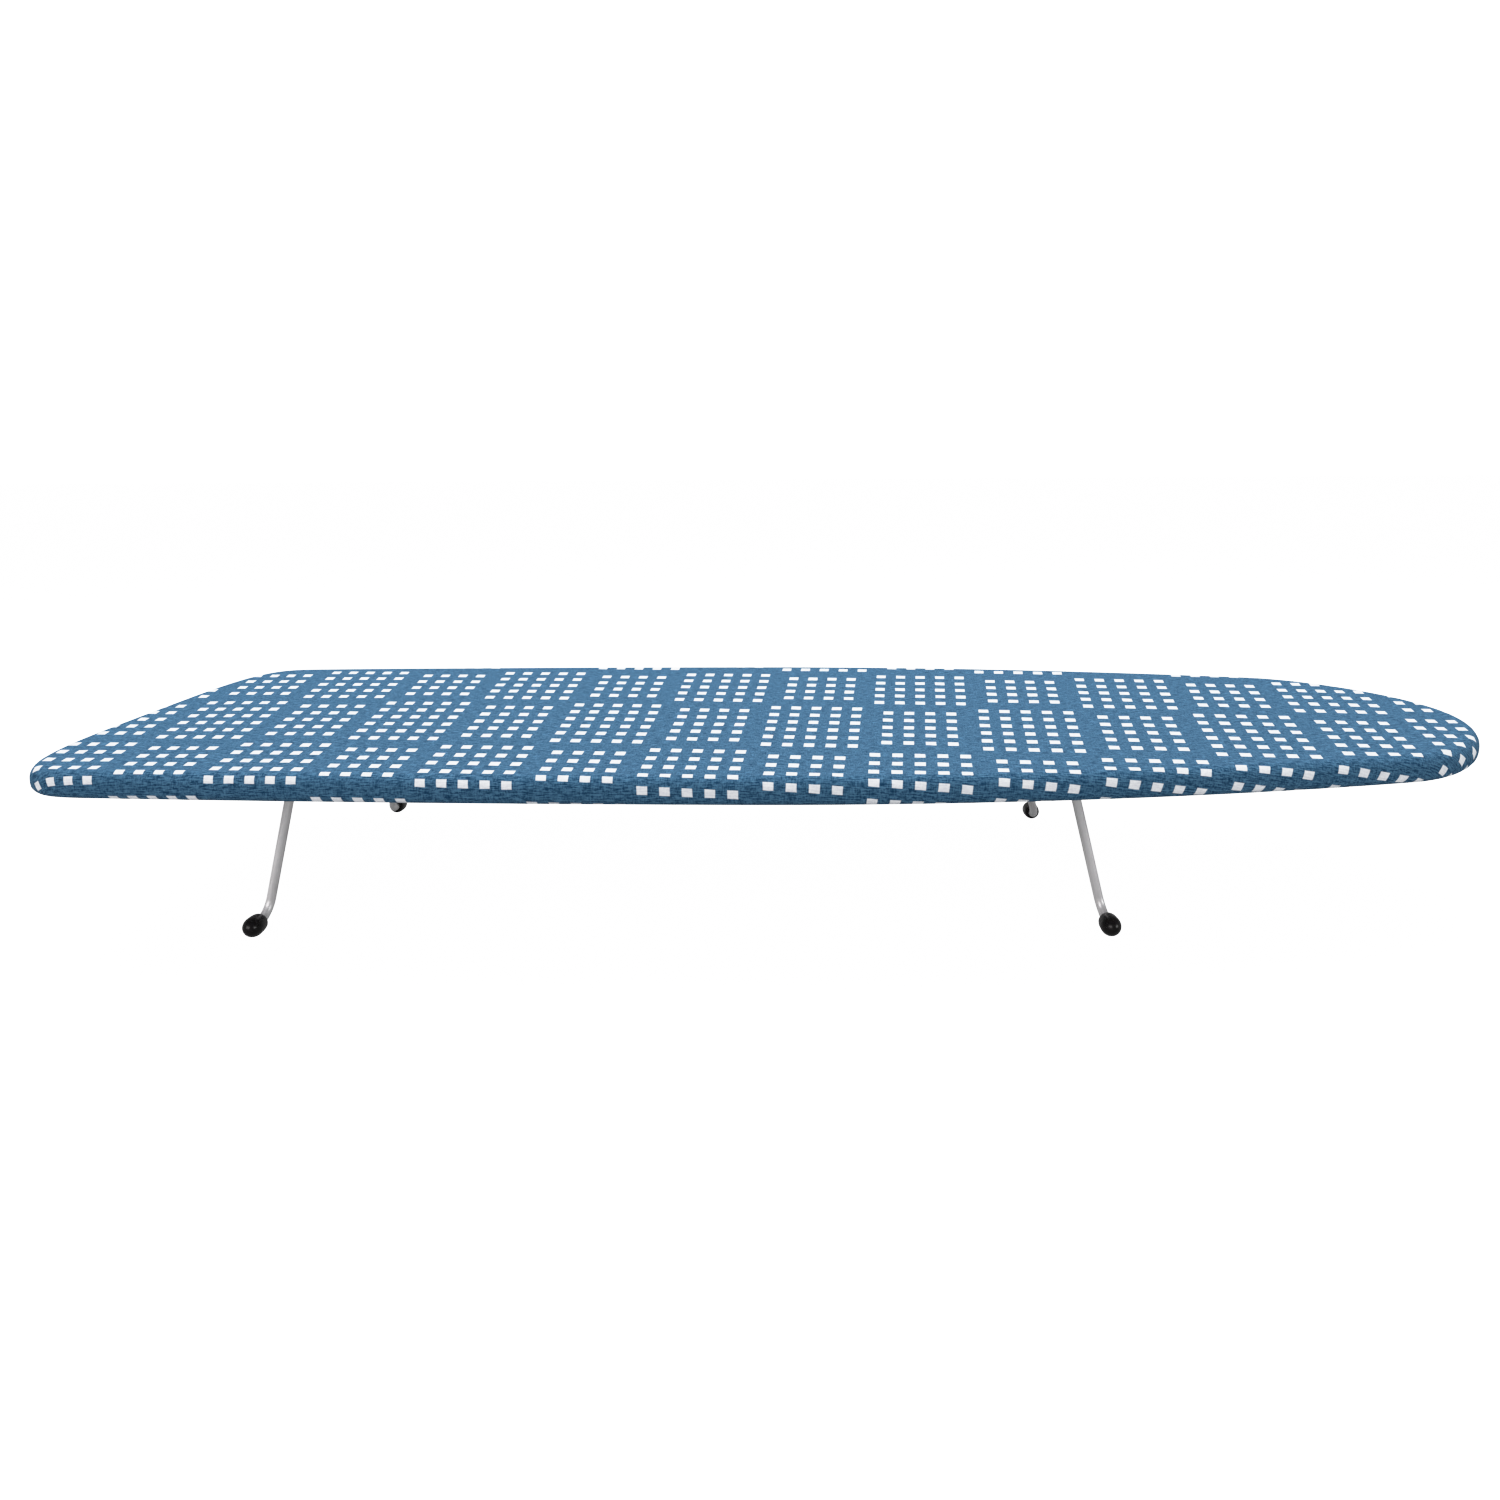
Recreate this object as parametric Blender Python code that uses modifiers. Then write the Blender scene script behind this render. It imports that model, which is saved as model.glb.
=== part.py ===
"""Tabletop ironing board with two folding wire legs.

Metres, +Z up. The origin is on the table under the middle of the board. +X runs along the board from
its square tail to its round nose, and +Y is the left side. The legs stand open, leaning outward on
their stops, and each folds inward and up under the board about its own crossbar.
"""
from math import cos, pi, radians, sin, sqrt, tan

import bmesh
import bpy
from mathutils import Vector

# Driving dimensions of the board
BOARD_LENGTH = 0.730
BOARD_WIDTH = 0.320
TOP_HEIGHT = 0.092
GAP = 0.0003              # clearance between pieces that touch

# Plan of the board: where the sides begin to draw in, and how the two ends round off
TAPER_START = -0.021
TAIL_TAPER = 0.068        # share of the half width lost by the tail
NOSE_TAPER = 0.414        # share of the half width lost by the nose tip, before it rounds off
TAIL_DEPTH = 0.0585       # the tail is half of a squarish superellipse, this deep
TAIL_POWERS = (5.0, 3.8)
NOSE_DEPTH = 0.0705       # the nose is half of an ellipse, this deep
TAIL_POINTS = 8
SIDE_POINTS = 8
NOSE_POINTS = 10
PARALLEL_LIMIT = 0.010    # a larger parallel inset would fold over at the tail's corners

# Soft layers
COVER_THICKNESS = 0.0010
COVER_TOP_RADIUS = 0.0055
COVER_UNDER_RADIUS = 0.0045
COVER_DEPTH = 0.013
COVER_RETURN = 0.022      # how far the cover reaches in under the board
PAD_THICKNESS = 0.0030
PAD_EASE = 0.0008         # extra clearance round the pad's edge, inside the cover
HEM_WIDTH = 0.0052
HEM_HEIGHT = 0.0042
HEM_WALL = 0.0008
HEM_SLOT = 0.0012
ELASTIC_RADIUS = 0.0010

# Steel frame
MESH_THICKNESS = 0.0008
MESH_INSET = 0.0018
RIM_RADIUS = 0.0030
RIM_INSET = 0.0045        # from the cover's outside to the rod's centre line
RAIL_WIDTH = 0.032
RAIL_THICKNESS = 0.0025
RAIL_END_GAP = 0.0010     # left for the weld to the rim
SPINE_WIDTH = 0.020
SPINE_THICKNESS = 0.0020

# Legs: centre line of each bent wire, and its caps
WIRE_RADIUS = 0.00238
LEG_LEAN = radians(15)
CROSSBAR_BEND = 0.008
FOOT_BEND = 0.0095
BEND_STEPS = 5
CAP_RADIUS = 0.0052
CAP_LENGTH = 0.0145
CAP_BORE_DEPTH = 0.009
CAP_STEPS = 12
CAP_MOUTH = 0.0005        # from the end of the foot bend to the cap
LEGS = {
    "rear": {"x": -0.2426, "half_span": 0.0981, "outward": -1},
    "front": {"x": 0.1384, "half_span": 0.0887, "outward": 1},
}

# Saddles, rivets and stops
SADDLE_THICKNESS = 0.0012
SADDLE_WIDTH = 0.012
SADDLE_HALF_LENGTH = 0.012
SADDLE_CLEARANCE = 0.00035
SADDLE_FROM_LEG = 0.018
RIVET_OFFSET = 0.0083
RIVET_RADIUS = 0.0015
RIVET_HOLE_RADIUS = 0.0018
RIVET_HEAD_RADIUS = 0.0027
RIVET_HEAD_HEIGHT = 0.0013
STOP_THICKNESS = 0.0015
STOP_WIDTH = 0.008
STOP_REACH = 0.014
STOP_DROP = 0.0118        # from the crossbar's axis to the stop's lower edge

# Heights, worked down from the top
PAD_TOP = TOP_HEIGHT - COVER_THICKNESS - GAP
PAD_BOTTOM = PAD_TOP - PAD_THICKNESS
MESH_TOP = PAD_BOTTOM - GAP
MESH_BOTTOM = MESH_TOP - MESH_THICKNESS
FRAME_TOP = MESH_BOTTOM - GAP
RIM_Z = FRAME_TOP - RIM_RADIUS
RAIL_BOTTOM = FRAME_TOP - RAIL_THICKNESS
PIVOT_Z = RAIL_BOTTOM - GAP - WIRE_RADIUS
COVER_BOTTOM = TOP_HEIGHT - COVER_DEPTH
HEM_Z = COVER_BOTTOM + COVER_THICKNESS / 2
CAP_FLAT = CAP_RADIUS * cos(pi / CAP_STEPS)      # from the cap's axis to its facets
LEG_LENGTH = (PIVOT_Z - CAP_FLAT) / cos(LEG_LEAN)

SIDES = {"left": 1, "right": -1}


# Scene, materials and small helpers

for old in list(bpy.data.objects):
    bpy.data.objects.remove(old, do_unlink=True)

board = bpy.data.collections.new("tabletop_ironing_board")
cutters = bpy.data.collections.new("cutters")
bpy.context.scene.collection.children.link(board)
bpy.context.scene.collection.children.link(cutters)


def material(name, color, roughness, metallic=0.0):
    made = bpy.data.materials.new(name)
    made.use_nodes = True
    shader = made.node_tree.nodes["Principled BSDF"]
    shader.inputs["Base Color"].default_value = (*color, 1.0)
    shader.inputs["Roughness"].default_value = roughness
    shader.inputs["Metallic"].default_value = metallic
    made.diffuse_color = (*color, 1.0)
    return made


BLUE_FABRIC = material("blue_fabric", (0.055, 0.19, 0.34), 0.9)
HEM_TAPE = material("hem_tape", (0.05, 0.16, 0.29), 0.9)
ELASTIC = material("white_elastic", (0.82, 0.81, 0.78), 0.8)
FELT = material("grey_felt", (0.62, 0.62, 0.60), 1.0)
PAINTED_STEEL = material("painted_steel", (0.62, 0.63, 0.64), 0.45, 0.4)
WIRE_STEEL = material("drawn_wire", (0.66, 0.66, 0.66), 0.35, 1.0)
ZINC_STEEL = material("zinc_plated_steel", (0.58, 0.58, 0.57), 0.4, 1.0)
BLACK_PLASTIC = material("black_plastic", (0.012, 0.011, 0.012), 0.4)


def place(piece, made_of, parent=None, collection=board):
    collection.objects.link(piece)
    if made_of:
        piece.data.materials.append(made_of)
    piece.parent = parent
    return piece


def smooth(piece, angle=radians(40)):
    piece.data.shade_smooth()
    piece.data.set_sharp_from_angle(angle=angle)


def tube(name, points, radius, made_of, resolution=2, cyclic=False, parent=None):
    """A round rod along a path of straight runs."""
    curve = bpy.data.curves.new(name, "CURVE")
    curve.dimensions = "3D"
    curve.bevel_depth = radius
    curve.bevel_resolution = resolution
    curve.use_fill_caps = True
    spline = curve.splines.new("POLY")
    spline.points.add(len(points) - 1)
    for target, point in zip(spline.points, points):
        target.co = (*point, 1.0)
    spline.use_cyclic_u = cyclic
    return place(bpy.data.objects.new(name, curve), made_of, parent)


def plate(name, outline, thickness, made_of):
    """A flat piece of the given outline, in its own XY plane, with its middle at z = 0."""
    curve = bpy.data.curves.new(name, "CURVE")
    curve.dimensions = "2D"
    curve.fill_mode = "BOTH"
    curve.extrude = thickness / 2
    spline = curve.splines.new("POLY")
    spline.points.add(len(outline) - 1)
    for target, (x, y) in zip(spline.points, outline):
        target.co = (x, y, 0.0, 1.0)
    spline.use_cyclic_u = True
    return place(bpy.data.objects.new(name, curve), made_of)


def as_mesh(piece):
    """The same piece as a closed mesh, so that holes can be cut in it."""
    bpy.context.view_layer.update()
    evaluated = piece.evaluated_get(bpy.context.evaluated_depsgraph_get())
    mesh = bpy.data.meshes.new_from_object(evaluated)
    edit = bmesh.new()
    edit.from_mesh(mesh)
    bmesh.ops.remove_doubles(edit, verts=edit.verts, dist=1e-6)
    bmesh.ops.recalc_face_normals(edit, faces=edit.faces)
    edit.to_mesh(mesh)
    edit.free()
    name = piece.name
    matrix = piece.matrix_world.copy()
    bpy.data.objects.remove(piece, do_unlink=True)
    solid = bpy.data.objects.new(name, mesh)
    board.objects.link(solid)
    solid.matrix_world = matrix
    return solid


def turned(name, profile, made_of, steps, parent=None):
    """A turned piece: profile is (radius, z) down its outer side, from the axis back to the axis."""
    mesh = bpy.data.meshes.new(name)
    edges = [(i, i + 1) for i in range(len(profile) - 1)]
    mesh.from_pydata([(r, 0.0, z) for r, z in profile], edges, [])
    piece = place(bpy.data.objects.new(name, mesh), made_of, parent)
    screw = piece.modifiers.new("turn", "SCREW")
    screw.steps = steps
    screw.render_steps = steps
    screw.use_merge_vertices = True
    screw.merge_threshold = 1e-5
    screw.use_smooth_shade = True
    return piece


# Plan outline of the board

def half_width(x):
    """Half the board's width at x, before the tail and the nose round off."""
    behind = max(0.0, TAPER_START - x) / (TAPER_START + BOARD_LENGTH / 2)
    ahead = max(0.0, x - TAPER_START) / (BOARD_LENGTH / 2 - TAPER_START)
    return BOARD_WIDTH / 2 * (1 - TAIL_TAPER * behind**2) * (1 - NOSE_TAPER * ahead**2)


def shrunk_outline(inset):
    """Points round the board, counter-clockwise from the tail, with inset taken off each half axis."""
    tail_x = -BOARD_LENGTH / 2 + TAIL_DEPTH
    nose_x = BOARD_LENGTH / 2 - NOSE_DEPTH
    right = []
    for i in range(TAIL_POINTS + 1):
        turn = pi / 2 * i / TAIL_POINTS
        x = tail_x - (TAIL_DEPTH - inset) * cos(turn) ** (2 / TAIL_POWERS[0])
        right.append((x, -(half_width(x) - inset) * sin(turn) ** (2 / TAIL_POWERS[1])))
    for i in range(1, SIDE_POINTS):
        x = tail_x + (nose_x - tail_x) * i / SIDE_POINTS
        right.append((x, -(half_width(x) - inset)))
    for i in range(NOSE_POINTS + 1):
        turn = pi / 2 * i / NOSE_POINTS
        x = nose_x + (NOSE_DEPTH - inset) * sin(turn)
        right.append((x, -(half_width(x) - inset) * cos(turn)))
    left = [(x, -y) for x, y in reversed(right[1:-1])]
    return right + left


def board_outline(inset=0.0):
    """The board's outline moved in by inset: parallel to its edge, or shrunk where that would fold."""
    if inset > PARALLEL_LIMIT:
        return shrunk_outline(inset)
    edge = [Vector(point) for point in shrunk_outline(0.0)]
    moved = []
    for i, point in enumerate(edge):
        before = (point - edge[i - 1]).normalized()
        after = (edge[(i + 1) % len(edge)] - point).normalized()
        inward = (before + after).normalized().orthogonal()
        mitre = inset / inward.dot(before.orthogonal())
        moved.append(tuple(point + inward * mitre))
    return moved


def lofted(name, sections, made_of, first_cap=False, last_cap=False, wrap=False):
    """Skin over copies of the board's outline, one for each (inset, z) in sections."""
    mesh = bpy.data.meshes.new(name)
    edit = bmesh.new()
    rings = [[edit.verts.new((x, y, z)) for x, y in board_outline(inset)] for inset, z in sections]
    pairs = list(zip(rings, rings[1:]))
    if wrap:
        pairs.append((rings[-1], rings[0]))
    for upper, lower in pairs:
        for i in range(len(upper)):
            j = (i + 1) % len(upper)
            edit.faces.new((upper[i], lower[i], lower[j], upper[j]))
    if first_cap:
        edit.faces.new(rings[0])
    if last_cap:
        edit.faces.new(rings[-1][::-1])
    edit.to_mesh(mesh)
    edit.free()
    piece = place(bpy.data.objects.new(name, mesh), made_of)
    smooth(piece)
    return piece


def rounded_edge(radius, centre_inset, centre_z, start, end, steps):
    """(inset, z) along an arc in the edge's section, from angle start to angle end above level."""
    turns = [radians(start + (end - start) * i / steps) for i in range(steps + 1)]
    return [(centre_inset - radius * cos(a), centre_z + radius * sin(a)) for a in turns]


# Cover, hem, elastic and pad

def make_soft_layers():
    top_centre = TOP_HEIGHT - COVER_TOP_RADIUS
    under_centre = COVER_BOTTOM + COVER_UNDER_RADIUS
    cover_edge = rounded_edge(COVER_TOP_RADIUS, COVER_TOP_RADIUS, top_centre, 90, 0, 3)
    cover_edge += rounded_edge(COVER_UNDER_RADIUS, COVER_UNDER_RADIUS, under_centre, 0, -90, 3)
    cover_edge.append((COVER_RETURN, COVER_BOTTOM))
    cover = lofted("cover", cover_edge, BLUE_FABRIC, first_cap=True)
    shell = cover.modifiers.new("cloth", "SOLIDIFY")
    shell.thickness = COVER_THICKNESS
    shell.offset = -1
    shell.use_even_offset = True

    pad_radius = COVER_TOP_RADIUS - COVER_THICKNESS - GAP
    pad_start = 20
    pad_edge = rounded_edge(pad_radius, COVER_TOP_RADIUS + PAD_EASE, top_centre, 90, pad_start, 3)
    pad_edge.append((pad_edge[-1][0], PAD_BOTTOM))
    lofted("pad", pad_edge, FELT, first_cap=True, last_cap=True)

    outer = COVER_RETURN + GAP
    inner = outer + HEM_WIDTH
    half = HEM_HEIGHT / 2
    slot = HEM_SLOT / 2
    lip = inner - HEM_WALL
    back = outer + HEM_WALL
    hollow = half - HEM_WALL
    lower = [(outer, -half), (inner, -half), (inner, -slot), (lip, -slot), (lip, -hollow), (back, -hollow)]
    channel = lower + [(inset, -z) for inset, z in reversed(lower)]
    hem = lofted("hem", [(inset, HEM_Z + z) for inset, z in channel], HEM_TAPE, wrap=True)
    hem.data.shade_flat()

    elastic_inset = (lip + back) / 2
    path = [(x, y, HEM_Z) for x, y in board_outline(elastic_inset)]
    tube("hem_elastic", path, ELASTIC_RADIUS, ELASTIC, resolution=1, cyclic=True)


# Steel frame of the board

def make_frame():
    mesh_top = plate("mesh_top", board_outline(MESH_INSET), MESH_THICKNESS, PAINTED_STEEL)
    mesh_top.location.z = MESH_BOTTOM + MESH_THICKNESS / 2
    path = [(x, y, RIM_Z) for x, y in board_outline(RIM_INSET)]
    tube("rim", path, RIM_RADIUS, PAINTED_STEEL, cyclic=True)

    rail_edge = RAIL_WIDTH / 2 + GAP
    spine_ends = (LEGS["rear"]["x"] + rail_edge, LEGS["front"]["x"] - rail_edge)
    across = SPINE_WIDTH / 2
    corners = [(spine_ends[0], -across), (spine_ends[1], -across), (spine_ends[1], across), (spine_ends[0], across)]
    spine = plate("spine", corners, SPINE_THICKNESS, PAINTED_STEEL)
    spine.location.z = FRAME_TOP - SPINE_THICKNESS / 2


def make_rail(end, leg, holes):
    """A flat rail from rim to rim, cut to the board's taper and drilled for the rivets."""
    reach = RIM_INSET + RIM_RADIUS + RAIL_END_GAP
    near, far = leg["x"] - RAIL_WIDTH / 2, leg["x"] + RAIL_WIDTH / 2
    near_y, far_y = half_width(near) - reach, half_width(far) - reach
    corners = [(near, -near_y), (far, -far_y), (far, far_y), (near, near_y)]
    rail = plate(f"{end}_rail", corners, RAIL_THICKNESS, PAINTED_STEEL)
    rail.location.z = RAIL_BOTTOM + RAIL_THICKNESS / 2
    drill(as_mesh(rail), holes)


# Saddles, rivets and stops

def drill(piece, holes):
    for hole in holes:
        cut = piece.modifiers.new("rivet_hole", "BOOLEAN")
        cut.operation = "DIFFERENCE"
        cut.object = hole


def rivet_hole(x, y):
    """A cutter through the rail and the saddle, for one rivet."""
    mesh = bpy.data.meshes.new("rivet_hole")
    edit = bmesh.new()
    height = 0.012
    bmesh.ops.create_cone(edit, cap_ends=True, segments=12, radius1=RIVET_HOLE_RADIUS,
                          radius2=RIVET_HOLE_RADIUS, depth=height)
    edit.to_mesh(mesh)
    edit.free()
    cutter = place(bpy.data.objects.new("rivet_hole", mesh), None, collection=cutters)
    cutter.location = (x, y, RAIL_BOTTOM)
    cutter.hide_render = True
    cutter.display_type = "WIRE"
    return cutter


def make_rivet(name, x, y):
    """A dome-headed rivet: its head under the saddle, its other end flush in the rail."""
    head_top = RAIL_BOTTOM - GAP - SADDLE_THICKNESS - GAP
    dome = [(RIVET_HEAD_RADIUS * cos(a), head_top - RIVET_HEAD_HEIGHT * sin(a))
            for a in (0, pi / 6, pi / 3)]
    profile = [(0.0, FRAME_TOP - GAP / 2), (RIVET_RADIUS, FRAME_TOP - GAP / 2), (RIVET_RADIUS, head_top)]
    profile += dome + [(0.0, head_top - RIVET_HEAD_HEIGHT)]
    rivet = turned(name, profile, ZINC_STEEL, steps=10)
    rivet.location = (x, y, 0.0)


def upright_plate(name, section, width, made_of, x, y):
    """A plate cut to a section in XZ and running along Y for its width."""
    piece = plate(name, section, width, made_of)
    piece.rotation_euler = (pi / 2, 0.0, 0.0)
    piece.location = (x, y, 0.0)
    return piece


def make_saddle(name, x, y, holes):
    """A strap bent round the underside of the crossbar, flat on the rail at both ends."""
    top = RAIL_BOTTOM - GAP
    low = top - SADDLE_THICKNESS
    inside = WIRE_RADIUS + SADDLE_CLEARANCE
    outside = inside + SADDLE_THICKNESS
    turns = [pi * i / 8 for i in range(9)]
    inner = [(inside * cos(a), PIVOT_Z - inside * sin(a)) for a in turns]
    outer = [(-outside * cos(a), PIVOT_Z - outside * sin(a)) for a in turns]
    section = [(SADDLE_HALF_LENGTH, top), (inside, top)] + inner
    section += [(-inside, top), (-SADDLE_HALF_LENGTH, top), (-SADDLE_HALF_LENGTH, low), (-outside, low)]
    section += outer + [(outside, low), (SADDLE_HALF_LENGTH, low)]
    strap = upright_plate(name, section, SADDLE_WIDTH, ZINC_STEEL, x, y)
    drill(as_mesh(strap), holes)


def make_stop(name, leg, y):
    """A tab bent down from the rail, parallel to the open leg, that the leg leans on."""
    out = leg["outward"]
    top = RAIL_BOTTOM - GAP
    low = top - STOP_THICKNESS
    tip = PIVOT_Z - STOP_DROP
    face = (WIRE_RADIUS + GAP) / cos(LEG_LEAN)
    back = face + STOP_THICKNESS / cos(LEG_LEAN)

    def leaned(offset, z):
        return (out * (offset + (PIVOT_Z - z) * tan(LEG_LEAN)), z)

    section = [leaned(face, top), leaned(face, tip), leaned(back, tip), leaned(back, low)]
    section += [(out * STOP_REACH, low), (out * STOP_REACH, top)]
    upright_plate(name, section, STOP_WIDTH, ZINC_STEEL, leg["x"], y)


# Legs and their caps

def quarter_bend(centre, radius, start, end):
    """Points of a 90-degree bend in the leg's own YZ plane."""
    turns = [radians(start + (end - start) * i / BEND_STEPS) for i in range(BEND_STEPS + 1)]
    return [(centre[0] + radius * cos(a), centre[1] + radius * sin(a)) for a in turns]


def make_leg(end, leg):
    """One bent wire, in its own frame: crossbar on the pivot's axis and the legs down -Z."""
    pivot = bpy.data.objects.new(f"{end}_leg_pivot", None)
    board.objects.link(pivot)
    pivot.location = (leg["x"], 0.0, PIVOT_Z)
    pivot.rotation_euler = (0.0, -leg["outward"] * LEG_LEAN, 0.0)

    half_span = leg["half_span"]
    foot_y = half_span + FOOT_BEND
    wire_end = foot_y + CAP_BORE_DEPTH
    left = [(wire_end, -LEG_LENGTH)]
    left += quarter_bend((foot_y, FOOT_BEND - LEG_LENGTH), FOOT_BEND, 270, 180)
    left += quarter_bend((half_span - CROSSBAR_BEND, -CROSSBAR_BEND), CROSSBAR_BEND, 0, 90)
    right = [(-y, z) for y, z in reversed(left)]
    tube(f"{end}_leg", [(0.0, y, z) for y, z in left + right], WIRE_RADIUS, WIRE_STEEL, parent=pivot)

    for side, sign in SIDES.items():
        cap = make_cap(f"{end}_{side}_foot", pivot)
        cap.location = (0.0, sign * (foot_y + CAP_MOUTH), -LEG_LENGTH)
        cap.rotation_euler = (-sign * pi / 2, 0.0, 0.0)


def make_cap(name, parent):
    """A moulded cap with a domed end, its mouth at z = 0 and its dome up +Z."""
    bore = WIRE_RADIUS + GAP
    lip = 0.0020
    dome = [(CAP_RADIUS * sin(a), CAP_LENGTH - CAP_RADIUS + CAP_RADIUS * cos(a))
            for a in (0, pi / 8, pi / 4, 3 * pi / 8, pi / 2)]
    mouth = [(CAP_RADIUS, lip), (CAP_RADIUS - lip * (1 - sqrt(0.5)), lip * (1 - sqrt(0.5)))]
    profile = dome + mouth + [(bore, 0.0), (bore, CAP_BORE_DEPTH), (0.0, CAP_BORE_DEPTH)]
    return turned(name, profile, BLACK_PLASTIC, CAP_STEPS, parent)


# Assembly

make_soft_layers()
make_frame()
for end, leg in LEGS.items():
    all_holes = []
    for side, sign in SIDES.items():
        saddle_y = sign * (leg["half_span"] - SADDLE_FROM_LEG)
        holes = []
        for place_name, offset in (("aft", -RIVET_OFFSET), ("fore", RIVET_OFFSET)):
            rivet_x = leg["x"] + offset
            holes.append(rivet_hole(rivet_x, saddle_y))
            make_rivet(f"{end}_{side}_{place_name}_rivet", rivet_x, saddle_y)
        make_saddle(f"{end}_{side}_saddle", leg["x"], saddle_y, holes)
        make_stop(f"{end}_{side}_stop", leg, sign * leg["half_span"])
        all_holes += holes
    make_rail(end, leg, all_holes)
    make_leg(end, leg)
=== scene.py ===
"""Looks of the tabletop ironing board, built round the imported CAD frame.

Metres, in the CAD's own frame: the origin is on the table under the middle of the board, +X runs from
the square tail to the round nose, +Y is the left side and +Z is up. The camera stands on the right side.
"""
from math import cos, pi, radians, sin

import bpy
import numpy as np
from mathutils import Matrix, Vector, noise


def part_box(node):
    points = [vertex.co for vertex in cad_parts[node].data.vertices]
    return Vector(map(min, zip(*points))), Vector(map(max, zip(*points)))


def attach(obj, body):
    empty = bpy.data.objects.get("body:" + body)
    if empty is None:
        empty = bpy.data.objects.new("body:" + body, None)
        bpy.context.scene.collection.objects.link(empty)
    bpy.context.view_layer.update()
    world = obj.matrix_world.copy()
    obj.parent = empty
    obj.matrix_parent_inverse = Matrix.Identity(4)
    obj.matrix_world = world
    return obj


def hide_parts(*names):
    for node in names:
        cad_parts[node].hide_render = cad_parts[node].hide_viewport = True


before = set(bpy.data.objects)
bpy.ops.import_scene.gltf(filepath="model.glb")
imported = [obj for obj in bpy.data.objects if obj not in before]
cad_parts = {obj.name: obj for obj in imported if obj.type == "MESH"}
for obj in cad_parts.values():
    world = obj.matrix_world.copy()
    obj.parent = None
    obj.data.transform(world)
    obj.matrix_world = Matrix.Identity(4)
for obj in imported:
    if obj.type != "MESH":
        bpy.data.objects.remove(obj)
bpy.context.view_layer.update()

# The board's plan and heights, as the CAD has them
BOARD_LENGTH = 0.730
BOARD_WIDTH = 0.320
TAPER_START = -0.021
TAIL_TAPER = 0.068
NOSE_TAPER = 0.414
TAIL_DEPTH = 0.0585
TAIL_POWERS = (5.0, 3.8)
NOSE_DEPTH = 0.0705
PARALLEL_LIMIT = 0.010
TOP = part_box("cover")[1].z
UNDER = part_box("cover")[0].z
COVER_RETURN = 0.022
HEM_INSET = 0.0249
HEM_Z = (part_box("hem")[0].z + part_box("hem")[1].z) / 2
MESH_INSET = 0.0022
LEG_LEAN = radians(15)
WIRE_RADIUS = 0.00238
CROSSBAR_BEND = 0.008
FOOT_BEND = 0.0095
CAP_MOUTH = 0.0005
CAP_LENGTH = 0.0145
CAP_RADIUS = 0.0052
CAP_BORE_DEPTH = 0.009
CAP_DOME_START = 0.0078
CAP_FIT = CAP_RADIUS * cos(pi / 12)     # the round cap that stands where the CAD's facet does
CAP_PLAY = 0.0002                       # between the wire and the cap's bore
LEGS = {
    "rear": {"x": -0.2426, "half_span": 0.0981, "outward": -1},
    "front": {"x": 0.1384, "half_span": 0.0887, "outward": 1},
}


# Meshes

def half_width(x):
    """Half the board's width at x, before its ends are rounded."""
    behind = np.maximum(0.0, TAPER_START - x) / (TAPER_START + BOARD_LENGTH / 2)
    ahead = np.maximum(0.0, x - TAPER_START) / (BOARD_LENGTH / 2 - TAPER_START)
    return BOARD_WIDTH / 2 * (1 - TAIL_TAPER * behind**2) * (1 - NOSE_TAPER * ahead**2)


def shrunk_half(stage, inset):
    """Right half of the outline: stage 0 to 1 rounds the tail, 1 to 2 is the side and 2 to 3 the nose."""
    tail_x = -BOARD_LENGTH / 2 + TAIL_DEPTH
    nose_x = BOARD_LENGTH / 2 - NOSE_DEPTH
    turn = pi / 2 * np.clip(stage, 0, 1)
    tail = tail_x - (TAIL_DEPTH - inset) * np.cos(turn).clip(0) ** (2 / TAIL_POWERS[0])
    side = tail_x + (nose_x - tail_x) * np.clip(stage - 1, 0, 1)
    swing = pi / 2 * np.clip(stage - 2, 0, 1)
    nose = nose_x + (NOSE_DEPTH - inset) * np.sin(swing)
    x = np.where(stage < 1, tail, np.where(stage < 2, side, nose))
    across = np.sin(turn).clip(0) ** (2 / TAIL_POWERS[1]) * np.cos(swing).clip(0)
    return np.column_stack([x, -(half_width(x) - inset) * across])


class Outline:
    """count points spaced evenly round the board's edge, from the middle of the tail, counter-clockwise."""

    def __init__(self, count):
        fine = np.linspace(0, 1, 4001)
        stages = np.concatenate([(1 - np.cos(pi * fine)) / 2 + k for k in range(3)])
        line = shrunk_half(stages, 0.0)
        run = distances(line)
        self.count = count
        self.length = 2 * run[-1]
        half = count // 2
        self.stage = np.interp(np.linspace(0, run[-1], half + 1), run, stages)
        self.arc = np.arange(count) * self.length / count
        self.edge = self.shrunk(0.0)
        ahead = np.roll(self.edge, -1, axis=0) - np.roll(self.edge, 1, axis=0)
        ahead /= np.linalg.norm(ahead, axis=1)[:, None]
        self.outward = np.column_stack([ahead[:, 1], -ahead[:, 0]])
        turning = np.cross(ahead, np.roll(ahead, -1, axis=0)) * count / self.length
        width = np.exp(-np.linspace(-2, 2, 2 * (count // 60) + 1) ** 2)
        ring = np.concatenate([turning[-count // 2:], turning, turning[:count // 2]])
        smooth = np.convolve(ring, width / width.sum(), "same")[len(turning[-count // 2:]):][:count]
        self.bend = np.clip(smooth / 14, 0, 1)

    def shrunk(self, inset):
        right = shrunk_half(self.stage, inset)
        return np.vstack([right, right[1:-1][::-1] * [1, -1]])

    def at(self, inset):
        """The outline moved in: parallel near the edge, but shrunk further in, where that would fold."""
        near = self.edge - self.outward * inset
        if inset <= PARALLEL_LIMIT:
            return near
        share = min(1.0, (inset - PARALLEL_LIMIT) / PARALLEL_LIMIT)
        return near * (1 - share) + self.shrunk(inset) * share


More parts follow.
